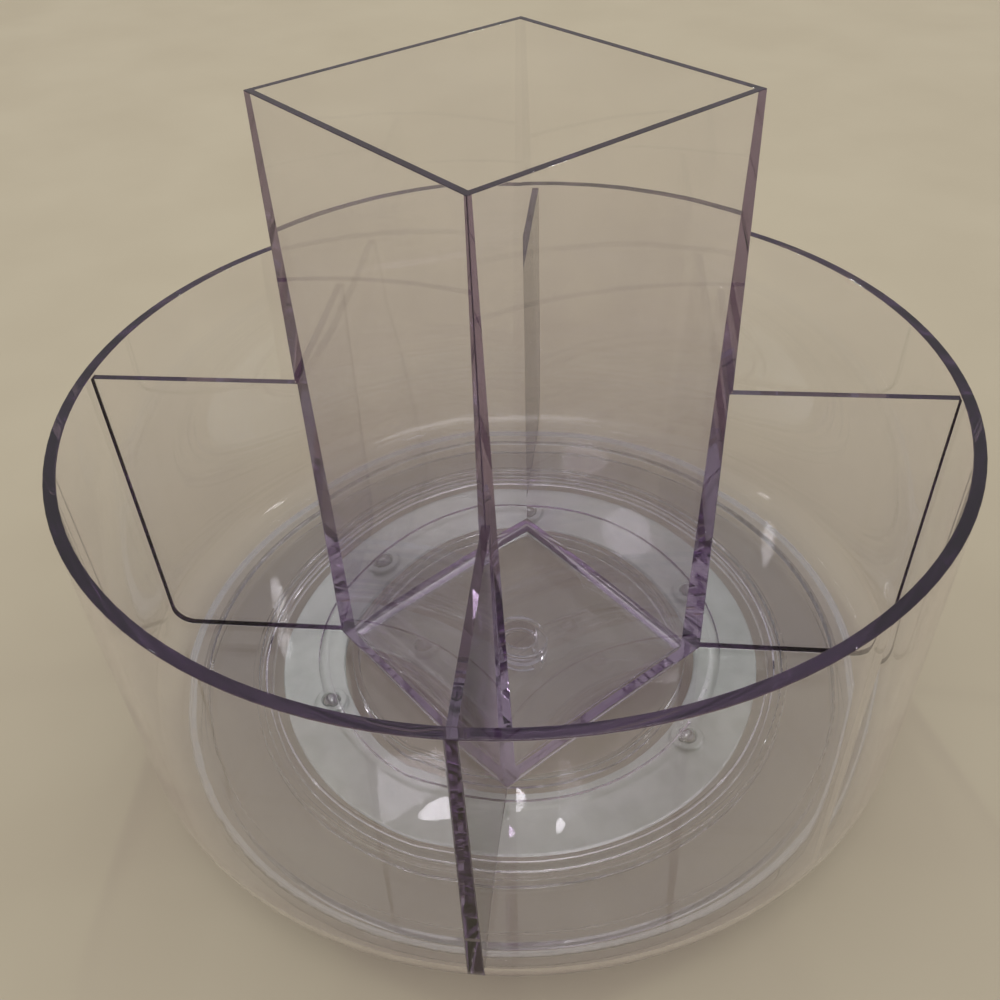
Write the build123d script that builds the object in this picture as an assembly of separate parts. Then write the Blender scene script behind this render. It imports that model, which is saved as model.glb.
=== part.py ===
from build123d import *
from build123d.topology import SkipClean
import os
from math import sqrt

# A turning organizer: a clear round tray with four dividers and a tall square bin,
# carried by a ring of steel balls on a clear base.
# Millimetres and degrees. +Z is up and is the turning axis. The base stands on Z = 0.
# The bin's sides face X and Y, and the dividers run along the diagonals.

# Tray wall and floor
RIM_RADIUS = 125.0
WALL_LEAN = 3.8  # how far the wall's outside leans in from the rim to the underside
WALL = 3.3
FLOOR = 2.6
RIM_HEIGHT = 99.0  # above the floor
FOOT_ROUND = 10.0  # outside corner between wall and underside
RIM_ROUND = 0.4

# Bin, which tapers both ways so that it leaves the mould
BIN_HEIGHT = 179.9  # above the floor
BIN_SIDE_TOP = 86.8
BIN_SIDE_FOOT = 87.4
BIN_WALL_TOP = 2.0
BIN_WALL_FOOT = 8.6
BIN_CORNER = 0.3
BIN_FLOOR_ROUND = 3.0  # inside, along the foot of its walls
BIN_EDGE_ROUND = 0.2

# Dividers
DIVIDER_TOP = 2.2
DIVIDER_FOOT = 3.7
DIVIDER_DROP = 1.0  # below the rim
COMPARTMENT_ROUND = 0.4
COMPARTMENTS = 4

# Balls and their grooves
BALL_DIAMETER = 6.0
BALLS = 6
FIRST_BALL_ANGLE = 12.5
GROOVE_RADIUS = 3.4
GROOVE_DEPTH = 0.5
RUN_GAP = 0.09

# Cage
CAGE_OUTER_BAND = 13.8  # from the ball circle out to the cage's edge
CAGE_INNER_BAND = 6.5
CAGE_PLATE = 1.6
CAGE_LIFT = 0.2
CAGE_ROUND = 0.4
CUP_WALL = 1.9
CUP_HEIGHT = 3.6
CUP_GAP = 0.25
CUP_ROUND = 0.7
CUP_FOOT_ROUND = 0.9

# Base
BASE_INSET = 10.7  # from the tray's foot in to the base's edge
BASE_EDGE_BAND = 7.5  # width of the base's raised edge
BASE_EDGE_ROUND = 1.0
BASE_PLATE = 2.4
BASE_UNDERSIDE = 4.5  # above the surface that the skirt stands on
SKIRT_WALL = 2.4
HUB_RADIUS = 8.85

# Ribs that guide the cage, two on the base and one under the tray
RIB_INSET = 14.6  # from the base's raised edge in to its outer rib
RIB_WALL = 2.2
RIB_SPACE = 2.0  # between the base's outer rib and the tray's rib
RIB_GAP = 0.6
RIB_ROUND = 0.7
CAGE_OUTER_GAP = 3.2
CAGE_INNER_GAP = 2.8

# Pivot
SPIGOT_RADIUS = 5.8
SPIGOT_TIP = 1.0
TIP_ROUND = 0.4
PIVOT_GAP = 0.06
END_PLAY = 0.15
SNAP_DEPTH = 0.6
RING_PLATE = 1.2
RING_GAP = 0.05
RING_SLIT = 4.0

# How far a cut runs past the face that it leaves by
OVERRUN = 1.0

# Radii worked out from these sizes, from the outside in
FOOT_RADIUS = RIM_RADIUS - WALL_LEAN
BASE_RADIUS = FOOT_RADIUS - BASE_INSET
EDGE_INSIDE = BASE_RADIUS - BASE_EDGE_BAND
OUTER_RIB_RADIUS = EDGE_INSIDE - RIB_INSET - RIB_WALL
TRAY_RIB_RADIUS = OUTER_RIB_RADIUS - RIB_SPACE - RIB_WALL
CAGE_OUTSIDE = TRAY_RIB_RADIUS - CAGE_OUTER_GAP
BALL_CIRCLE = CAGE_OUTSIDE - CAGE_OUTER_BAND
CAGE_INSIDE = BALL_CIRCLE - CAGE_INNER_BAND
INNER_RIB_RADIUS = CAGE_INSIDE - CAGE_INNER_GAP - RIB_WALL

# Heights worked out from these sizes
BASE_TOP = BASE_UNDERSIDE + BASE_PLATE
UNDERSIDE = BASE_TOP + BALL_DIAMETER + 2 * RUN_GAP - 2 * GROOVE_DEPTH
FLOOR_TOP = UNDERSIDE + FLOOR
RIM_TOP = FLOOR_TOP + RIM_HEIGHT
DIVIDER_TOP_HEIGHT = RIM_TOP - DIVIDER_DROP
BIN_TOP = FLOOR_TOP + BIN_HEIGHT
BALL_HEIGHT = BASE_TOP - GROOVE_DEPTH + RUN_GAP + BALL_DIAMETER / 2
RING_TOP = BASE_UNDERSIDE - END_PLAY
SNAP_LOW = RING_TOP - RING_PLATE - RING_GAP
SPIGOT_END = SNAP_LOW - SPIGOT_TIP


def wall_inside(height):
    """Radius of the wall's inside face at a height."""
    share = (height - UNDERSIDE) / (RIM_TOP - UNDERSIDE)
    return FOOT_RADIUS + (RIM_RADIUS - FOOT_RADIUS) * share - WALL


def between(foot, top, height):
    """A size that changes evenly from the floor to the rim."""
    return foot + (top - foot) * (height - FLOOR_TOP) / RIM_HEIGHT


def bin_side(height):
    """Outside width of the bin at a height."""
    return BIN_SIDE_FOOT + (BIN_SIDE_TOP - BIN_SIDE_FOOT) * (height - FLOOR_TOP) / BIN_HEIGHT


def turned(points, rounds=()):
    """Solid turned about Z from (radius, height) points, with some corners rounded."""
    outline = Plane.XZ * make_face(Polyline(*points, close=True))
    for radius, height, size in rounds:
        corner = outline.vertices().sort_by_distance((radius, 0, height))[0]
        outline = fillet(corner, size)
    return revolve(outline, Axis.Z)


def tapered_block(side_low, low, side_high, high):
    """Square block whose side changes evenly between two heights."""
    corners = []
    for side, height in ((side_low, low), (side_high, high)):
        half = side / 2
        corners += [(x, y, height) for x in (-half, half) for y in (-half, half)]
    return ConvexPolyhedron(corners)


def upright_edges(solid):
    """Edges that climb from one level to another."""
    return solid.edges().filter_by(lambda edge: edge.bounding_box().size.Z > RIM_HEIGHT / 2)


def tray_blank():
    """The tray before its compartments: wall, floor, guide rib, grooved spigot and raised rim."""
    rib_low = BASE_TOP + RIB_GAP
    points = [
        (0, SPIGOT_END),
        (SPIGOT_RADIUS, SPIGOT_END),
        (SPIGOT_RADIUS, SNAP_LOW),
        (SPIGOT_RADIUS - SNAP_DEPTH, SNAP_LOW),
        (SPIGOT_RADIUS - SNAP_DEPTH, RING_TOP + RING_GAP),
        (SPIGOT_RADIUS, RING_TOP + RING_GAP),
        (SPIGOT_RADIUS, UNDERSIDE),
        (TRAY_RIB_RADIUS, UNDERSIDE),
        (TRAY_RIB_RADIUS, rib_low),
        (TRAY_RIB_RADIUS + RIB_WALL, rib_low),
        (TRAY_RIB_RADIUS + RIB_WALL, UNDERSIDE),
        (FOOT_RADIUS, UNDERSIDE),
        (RIM_RADIUS, RIM_TOP),
        (RIM_RADIUS - WALL, RIM_TOP),
        (wall_inside(DIVIDER_TOP_HEIGHT), DIVIDER_TOP_HEIGHT),
        (0, DIVIDER_TOP_HEIGHT),
    ]
    rounds = [
        (SPIGOT_RADIUS, SPIGOT_END, TIP_ROUND),
        (TRAY_RIB_RADIUS, rib_low, RIB_ROUND),
        (TRAY_RIB_RADIUS + RIB_WALL, rib_low, RIB_ROUND),
        (FOOT_RADIUS, UNDERSIDE, FOOT_ROUND),
        (RIM_RADIUS, RIM_TOP, RIM_ROUND),
        (RIM_RADIUS - WALL, RIM_TOP, RIM_ROUND),
    ]
    return turned(points, rounds)


def compartment_corners(height):
    """Plan of the compartment that faces +X: bin side, two dividers and the open side."""
    near = bin_side(height) / 2
    far = RIM_RADIUS + OVERRUN
    offset = between(DIVIDER_FOOT, DIVIDER_TOP, height) / sqrt(2)
    return [(x, side * (x - offset), height) for x in (near, far) for side in (-1, 1)]


def compartment():
    """The hollow of the compartment that faces +X, with rounded corners."""
    plans = compartment_corners(FLOOR_TOP) + compartment_corners(DIVIDER_TOP_HEIGHT)
    points = [
        (0, FLOOR_TOP),
        (wall_inside(FLOOR_TOP), FLOOR_TOP),
        (wall_inside(DIVIDER_TOP_HEIGHT), DIVIDER_TOP_HEIGHT),
        (0, DIVIDER_TOP_HEIGHT),
    ]
    round_room = turned(points, [(wall_inside(FLOOR_TOP), FLOOR_TOP, FOOT_ROUND - WALL)])
    hollow = ConvexPolyhedron(plans) & round_room
    flat_sides = hollow.faces().filter_by(GeomType.PLANE).filter_by(Axis.Z, reverse=True)
    below_top = DIVIDER_TOP_HEIGHT - COMPARTMENT_ROUND
    corners = flat_sides.edges().filter_by(lambda edge: edge.bounding_box().min.Z < below_top)
    return fillet(corners, COMPARTMENT_ROUND)


def bin_block():
    """Outside of the bin, from the floor to its top."""
    block = tapered_block(BIN_SIDE_FOOT, FLOOR_TOP, BIN_SIDE_TOP, BIN_TOP)
    return fillet(upright_edges(block), BIN_CORNER)


def bin_hollow():
    """Inside of the bin, rounded along its floor."""
    foot = BIN_SIDE_FOOT - 2 * BIN_WALL_FOOT
    head = BIN_SIDE_TOP - 2 * BIN_WALL_TOP
    block = tapered_block(foot, FLOOR_TOP, head, BIN_TOP)
    floor_edges = block.faces().sort_by(Axis.Z)[0].edges()
    return fillet(floor_edges, BIN_FLOOR_ROUND)


def ball_groove(height):
    """Ring that cuts a ball groove about a height."""
    return Pos(0, 0, height) * Torus(BALL_CIRCLE, GROOVE_RADIUS)


def tray():
    """The tray: one clear moulding with its wall, floor, dividers and bin."""
    hollow = compartment()
    with SkipClean():
        solid = tray_blank() + bin_block() - bin_hollow()
        for index in range(COMPARTMENTS):
            solid -= Rot(0, 0, index * 360 / COMPARTMENTS) * hollow
        solid -= ball_groove(UNDERSIDE + GROOVE_DEPTH - GROOVE_RADIUS)
    top_edges = solid.faces().sort_by(Axis.Z)[-1].edges()
    return fillet(top_edges, BIN_EDGE_ROUND)


def base():
    """The clear base: plate, hub, two ribs, ball groove and a raised hollow edge to stand on."""
    rib_top = UNDERSIDE - RIB_GAP
    edge_low = rib_top - BASE_PLATE
    hub_bore = SPIGOT_RADIUS + PIVOT_GAP
    ribs = [HUB_RADIUS]
    points = [
        (hub_bore, BASE_UNDERSIDE),
        (hub_bore, rib_top),
        (HUB_RADIUS, rib_top),
        (HUB_RADIUS, BASE_TOP),
    ]
    for inside in (INNER_RIB_RADIUS, OUTER_RIB_RADIUS):
        outside = inside + RIB_WALL
        ribs += [inside, outside]
        points += [(inside, BASE_TOP), (inside, rib_top), (outside, rib_top), (outside, BASE_TOP)]
    points += [
        (EDGE_INSIDE, BASE_TOP),
        (EDGE_INSIDE, rib_top),
        (BASE_RADIUS, rib_top),
        (BASE_RADIUS, 0),
        (BASE_RADIUS - SKIRT_WALL, 0),
        (BASE_RADIUS - SKIRT_WALL, edge_low),
        (EDGE_INSIDE + SKIRT_WALL, edge_low),
        (EDGE_INSIDE + SKIRT_WALL, BASE_UNDERSIDE),
    ]
    rounds = [(radius, rib_top, RIB_ROUND) for radius in ribs]
    rounds += [(radius, rib_top, BASE_EDGE_ROUND) for radius in (EDGE_INSIDE, BASE_RADIUS)]
    return turned(points, rounds) - ball_groove(BASE_TOP - GROOVE_DEPTH + GROOVE_RADIUS)


def ball_places(height):
    """Centres of the balls at a height, each turned so that its X points outwards."""
    return [Pos(0, 0, height) * place for place in PolarLocations(BALL_CIRCLE, BALLS, FIRST_BALL_ANGLE)]


def ball_cage():
    """The cage: a flat ring with a rounded cup round each ball."""
    up = (Align.CENTER, Align.CENTER, Align.MIN)
    low = BASE_TOP + CAGE_LIFT
    high = low + CAGE_PLATE
    points = [(CAGE_INSIDE, low), (CAGE_OUTSIDE, low), (CAGE_OUTSIDE, high), (CAGE_INSIDE, high)]
    solid = turned(points, [(CAGE_OUTSIDE, high, CAGE_ROUND), (CAGE_INSIDE, high, CAGE_ROUND)])
    hole = BALL_DIAMETER / 2 + CUP_GAP
    cup = Cylinder(hole + CUP_WALL, CUP_HEIGHT, align=up)
    cup = fillet(cup.edges().sort_by(Axis.Z)[-1], CUP_ROUND)
    for place in ball_places(low):
        solid += place * cup
    rings = solid.edges().filter_by(GeomType.CIRCLE).filter_by_position(Axis.Z, high, high)
    solid = fillet(rings.group_by(SortBy.RADIUS)[0], CUP_FOOT_ROUND)
    for place in ball_places(low):
        solid -= place * Cylinder(hole, CUP_HEIGHT, align=up)
    return solid


def retaining_ring():
    """Split ring that snaps into the spigot's groove under the base and keeps the base on."""
    low = RING_TOP - RING_PLATE
    inside = SPIGOT_RADIUS - SNAP_DEPTH + RING_GAP
    points = [(inside, low), (HUB_RADIUS, low), (HUB_RADIUS, RING_TOP), (inside, RING_TOP)]
    slit = Box(HUB_RADIUS, RING_SLIT, RING_PLATE, align=(Align.MIN, Align.CENTER, Align.MIN))
    return turned(points) - Pos(0, 0, low) * slit


def export(name, solid):
    """Write one piece under its name."""
    export_step(solid, f"parts/{name}.step")


os.makedirs("parts", exist_ok=True)
export("tray", tray())
export("base", base())
export("ball_cage", ball_cage())
export("retaining_ring", retaining_ring())
for number, place in enumerate(ball_places(BALL_HEIGHT), 1):
    export(f"ball_{number}", place * Sphere(BALL_DIAMETER / 2))
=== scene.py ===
from math import radians

import bpy
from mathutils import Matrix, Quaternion, Vector

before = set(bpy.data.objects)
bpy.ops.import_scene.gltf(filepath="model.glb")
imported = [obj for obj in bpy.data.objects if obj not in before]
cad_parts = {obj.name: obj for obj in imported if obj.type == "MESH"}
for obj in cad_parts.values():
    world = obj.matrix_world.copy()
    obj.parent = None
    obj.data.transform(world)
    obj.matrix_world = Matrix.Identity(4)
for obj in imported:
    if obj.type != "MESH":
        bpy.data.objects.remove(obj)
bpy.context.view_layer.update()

# Camera, in metres, degrees and, for lens and sensor, millimetres
CAMERA_PLACE = Vector((0.2014, -0.1608, 0.2774))
CAMERA_AIM = Vector((-0.0025, -0.0032, 0.0725))
CAMERA_ROLL = -2.58
CAMERA_LENS = 39.19
CAMERA_SENSOR = 36.0
VIEW_AXIS = (0, 0, 1)

# Light from all round, from level to straight up
HORIZON = (0.33, 0.32, 0.305)
OVERHEAD = (0.52, 0.51, 0.495)
LEVEL = 0.0
STRAIGHT_UP = 1.0

# Lamps: place and width in metres, power in watts
LAMP_AIM = Vector((0.0, 0.0, 0.08))
LAMP_HEIGHT = 2.0
LAMP_POWER = 8.0
LAMPS = {
    "near_downlight": {"place": (-1.42, 0.915, LAMP_HEIGHT), "size": 0.055, "power": LAMP_POWER},
    "far_downlight": {"place": (-1.19, 1.10, LAMP_HEIGHT), "size": 0.035, "power": 1.5},
    "left_downlight": {"place": (-1.5, -1.3, LAMP_HEIGHT), "size": 0.16, "power": LAMP_POWER},
    "right_downlight": {"place": (0.9, 1.5, LAMP_HEIGHT), "size": 0.16, "power": LAMP_POWER},
    "soft_ceiling": {"place": (0.5, -0.2, 2.4), "size": 1.6, "power": 9.0},
}

# Light bounces that the clear walls need
DEEP_BOUNCES = 64

# A shader weight that is wholly on
FULL = 1.0

# Noise values between which most of a noise texture lies
NOISE_LOW = 0.35
NOISE_HIGH = 0.65

# Clear plastic: the depth of a tint is per metre of the way through it
CLEAR_IOR = 1.57
TRAY_TINT = (0.25, 0.04, 0.34)
TRAY_TINT_DEPTH = 12.4
TRAY_SHADOW = (0.985, 0.98, 0.983)
BASE_TINT = (0.40, 0.35, 0.42)
BASE_TINT_DEPTH = 8.0
BASE_SHADOW = (0.985, 0.985, 0.985)
CLEAR_LOW = (0.97, 0.97, 0.98)
CLEAR_HIGH = (1.0, 1.0, 1.0)
CLEAR_SCALE = 30.0
HAZE_SCALE = 60.0
HAZE_DETAIL = 6.0
HAZE_COARSENESS = 0.65
HAZE_START = 0.58
HAZE_END = 0.85
HAZE_LEAST = 0.0
HAZE_MOST = 0.05
WAVE_SCALE = 45.0
WAVE_DETAIL = 1.0
WAVE_STRENGTH = 0.02
WAVE_HEIGHT = 0.001

# Frosted plastic
FROST_TRANSMISSION = 0.75
FROST_IOR = 1.5
FROST_SCALE = 140.0
FROST_LOW = (0.56, 0.61, 0.55)
FROST_HIGH = (0.70, 0.745, 0.69)
FROST_SMOOTH = 0.3
FROST_ROUGH = 0.42
FROST_SHADOW = (0.85, 0.86, 0.85)
GRAIN_SCALE = 2500.0
GRAIN_DETAIL = 2.0
GRAIN_STRENGTH = 0.2
GRAIN_HEIGHT = 0.0002

# Steel
STEEL_LOW = (0.40, 0.40, 0.40)
STEEL_HIGH = (0.64, 0.64, 0.63)
STEEL_SMOOTH = 0.03
STEEL_ROUGH = 0.10
SWIRL_SCALE = 900.0
SWIRL_DETAIL = 4.0

# Floor
FLOOR_SIZE = 40.0
FLOOR_LOW = (0.53, 0.463, 0.345)
FLOOR_HIGH = (0.56, 0.493, 0.37)
FLOOR_SCALE = 9.0
FLOOR_ROUGHNESS = 0.9
FLOOR_GLOSS = 0.2


def opaque(colour):
    """Colour with full alpha."""
    return (*colour, FULL)


def new_material(name):
    """Node material with its tree, its Principled shader and Object coordinates."""
    material = bpy.data.materials.new(name)
    material.use_nodes = True
    tree = material.node_tree
    shader = tree.nodes["Principled BSDF"]
    place = tree.nodes.new("ShaderNodeTexCoord")
    return material, tree, shader, place.outputs["Object"]


def noise(tree, place, scale, detail=3.0, roughness=0.5):
    """Noise texture whose features are about 1/scale metres across."""
    node = tree.nodes.new("ShaderNodeTexNoise")
    node.inputs["Scale"].default_value = scale
    node.inputs["Detail"].default_value = detail
    node.inputs["Roughness"].default_value = roughness
    tree.links.new(place, node.inputs["Vector"])
    return node.outputs["Fac"]


def ramp(tree, source, low, high, start=NOISE_LOW, end=NOISE_HIGH):
    """Colour that runs from low to high as the source rises."""
    node = tree.nodes.new("ShaderNodeValToRGB")
    node.color_ramp.elements[0].position = start
    node.color_ramp.elements[0].color = opaque(low)
    node.color_ramp.elements[1].position = end
    node.color_ramp.elements[1].color = opaque(high)
    tree.links.new(source, node.inputs["Fac"])
    return node.outputs["Color"]


def span(tree, source, low, high, start=NOISE_LOW, end=NOISE_HIGH):
    """Value that runs from low to high as the source rises."""
    node = tree.nodes.new("ShaderNodeMapRange")
    node.inputs["From Min"].default_value = start
    node.inputs["From Max"].default_value = end
    node.inputs["To Min"].default_value = low
    node.inputs["To Max"].default_value = high
    tree.links.new(source, node.inputs["Value"])
    return node.outputs["Result"]


def bump(tree, shader, height, strength, distance):
    """Surface relief from a height value."""
    node = tree.nodes.new("ShaderNodeBump")
    node.inputs["Strength"].default_value = strength
    node.inputs["Distance"].default_value = distance
    tree.links.new(height, node.inputs["Height"])
    tree.links.new(node.outputs["Normal"], shader.inputs["Normal"])


def let_lamps_through(tree, shader, tint):
    """Lamps shine straight through the plastic, a little tinted."""
    light_path = tree.nodes.new("ShaderNodeLightPath")
    through = tree.nodes.new("ShaderNodeBsdfTransparent")
    through.inputs["Color"].default_value = opaque(tint)
    mix = tree.nodes.new("ShaderNodeMixShader")
    tree.links.new(light_path.outputs["Is Shadow Ray"], mix.inputs["Fac"])
    tree.links.new(shader.outputs["BSDF"], mix.inputs[1])
    tree.links.new(through.outputs["BSDF"], mix.inputs[2])
    tree.links.new(mix.outputs["Shader"], tree.nodes["Material Output"].inputs["Surface"])


def absorb(tree, colour, density):
    """Colour that deepens with the length of the way through the plastic."""
    node = tree.nodes.new("ShaderNodeVolumeAbsorption")
    node.inputs["Color"].default_value = opaque(colour)
    node.inputs["Density"].default_value = density
    tree.links.new(node.outputs["Volume"], tree.nodes["Material Output"].inputs["Volume"])


def clear_plastic(name, colour, density, shadow):
    """Moulded clear plastic: faint waves, hazy patches and a tint that shows at the edges."""
    material, tree, shader, place = new_material(name)
    shader.inputs["Transmission Weight"].default_value = FULL
    shader.inputs["IOR"].default_value = CLEAR_IOR
    cloud = noise(tree, place, CLEAR_SCALE)
    tree.links.new(ramp(tree, cloud, CLEAR_LOW, CLEAR_HIGH), shader.inputs["Base Color"])
    patches = noise(tree, place, HAZE_SCALE, HAZE_DETAIL, HAZE_COARSENESS)
    haze = span(tree, patches, HAZE_LEAST, HAZE_MOST, HAZE_START, HAZE_END)
    tree.links.new(haze, shader.inputs["Roughness"])
    waves = noise(tree, place, WAVE_SCALE, WAVE_DETAIL)
    bump(tree, shader, waves, WAVE_STRENGTH, WAVE_HEIGHT)
    absorb(tree, colour, density)
    let_lamps_through(tree, shader, shadow)
    return material


def frosted_plastic():
    """Milky translucent plastic with a fine matt grain."""
    material, tree, shader, place = new_material("frosted_plastic")
    shader.inputs["Transmission Weight"].default_value = FROST_TRANSMISSION
    shader.inputs["IOR"].default_value = FROST_IOR
    cloud = noise(tree, place, FROST_SCALE)
    tree.links.new(ramp(tree, cloud, FROST_LOW, FROST_HIGH), shader.inputs["Base Color"])
    tree.links.new(span(tree, cloud, FROST_SMOOTH, FROST_ROUGH), shader.inputs["Roughness"])
    grain = noise(tree, place, GRAIN_SCALE, GRAIN_DETAIL)
    bump(tree, shader, grain, GRAIN_STRENGTH, GRAIN_HEIGHT)
    let_lamps_through(tree, shader, FROST_SHADOW)
    return material


def polished_steel():
    """Bright steel with faint swirls of use."""
    material, tree, shader, place = new_material("polished_steel")
    shader.inputs["Metallic"].default_value = FULL
    swirl = noise(tree, place, SWIRL_SCALE, SWIRL_DETAIL)
    tree.links.new(ramp(tree, swirl, STEEL_LOW, STEEL_HIGH), shader.inputs["Base Color"])
    tree.links.new(span(tree, swirl, STEEL_SMOOTH, STEEL_ROUGH), shader.inputs["Roughness"])
    return material


def pale_floor():
    """Plain pale floor with the faintest mottling."""
    material, tree, shader, place = new_material("pale_floor")
    cloud = noise(tree, place, FLOOR_SCALE)
    tree.links.new(ramp(tree, cloud, FLOOR_LOW, FLOOR_HIGH), shader.inputs["Base Color"])
    shader.inputs["Roughness"].default_value = FLOOR_ROUGHNESS
    shader.inputs["Specular IOR Level"].default_value = FLOOR_GLOSS
    return material


def dress(node, material):
    """Give a CAD node its material."""
    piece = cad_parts[node]
    for slot in piece.material_slots:
        slot.material = material


def add_floor():
    """Floor under the base, not part of the object."""
    bpy.ops.mesh.primitive_plane_add(size=FLOOR_SIZE)
    floor = bpy.context.object
    floor.name = "floor"
    floor.data.materials.append(pale_floor())


def add_lamp(name, place, size, power):
    """Round soft lamp that faces the object."""
    light = bpy.data.lights.new(name, "AREA")
    light.shape = "DISK"
    light.size = size
    light.energy = power
    lamp = bpy.data.objects.new(name, light)
    lamp.location = place
    lamp.rotation_euler = (LAMP_AIM - Vector(place)).to_track_quat("-Z", "Y").to_euler()
    bpy.context.scene.collection.objects.link(lamp)


def add_world():
    """Soft light from all round, paler overhead."""
    world = bpy.data.worlds.new("studio")
    world.use_nodes = True
    tree = world.node_tree
    place = tree.nodes.new("ShaderNodeTexCoord")
    split = tree.nodes.new("ShaderNodeSeparateXYZ")
    tree.links.new(place.outputs["Generated"], split.inputs["Vector"])
    colour = ramp(tree, split.outputs["Z"], HORIZON, OVERHEAD, LEVEL, STRAIGHT_UP)
    tree.links.new(colour, tree.nodes["Background"].inputs["Color"])
    bpy.context.scene.world = world


def add_camera():
    """Camera at the photograph's place."""
    data = bpy.data.cameras.new("camera")
    data.lens = CAMERA_LENS
    data.sensor_width = CAMERA_SENSOR
    camera = bpy.data.objects.new("camera", data)
    camera.location = CAMERA_PLACE
    turn = (CAMERA_AIM - CAMERA_PLACE).to_track_quat("-Z", "Y")
    roll = Quaternion(VIEW_AXIS, radians(CAMERA_ROLL))
    camera.rotation_euler = (turn @ roll).to_euler()
    bpy.context.scene.collection.objects.link(camera)
    bpy.context.scene.camera = camera


tinted = clear_plastic("violet_clear_plastic", TRAY_TINT, TRAY_TINT_DEPTH, TRAY_SHADOW)
clear = clear_plastic("clear_plastic", BASE_TINT, BASE_TINT_DEPTH, BASE_SHADOW)
frosted = frosted_plastic()
steel = polished_steel()

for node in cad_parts:
    if node == "tray":
        dress(node, tinted)
    elif node == "ball_cage":
        dress(node, frosted)
    elif node.startswith("ball_"):
        dress(node, steel)
    else:
        dress(node, clear)

add_floor()
add_world()
for name, lamp in LAMPS.items():
    add_lamp(name, **lamp)
add_camera()

scene = bpy.context.scene
scene.view_settings.view_transform = "Standard"
scene.cycles.max_bounces = DEEP_BOUNCES
scene.cycles.transmission_bounces = DEEP_BOUNCES
scene.cycles.glossy_bounces = DEEP_BOUNCES
scene.cycles.transparent_max_bounces = DEEP_BOUNCES
scene.cycles.caustics_refractive = False
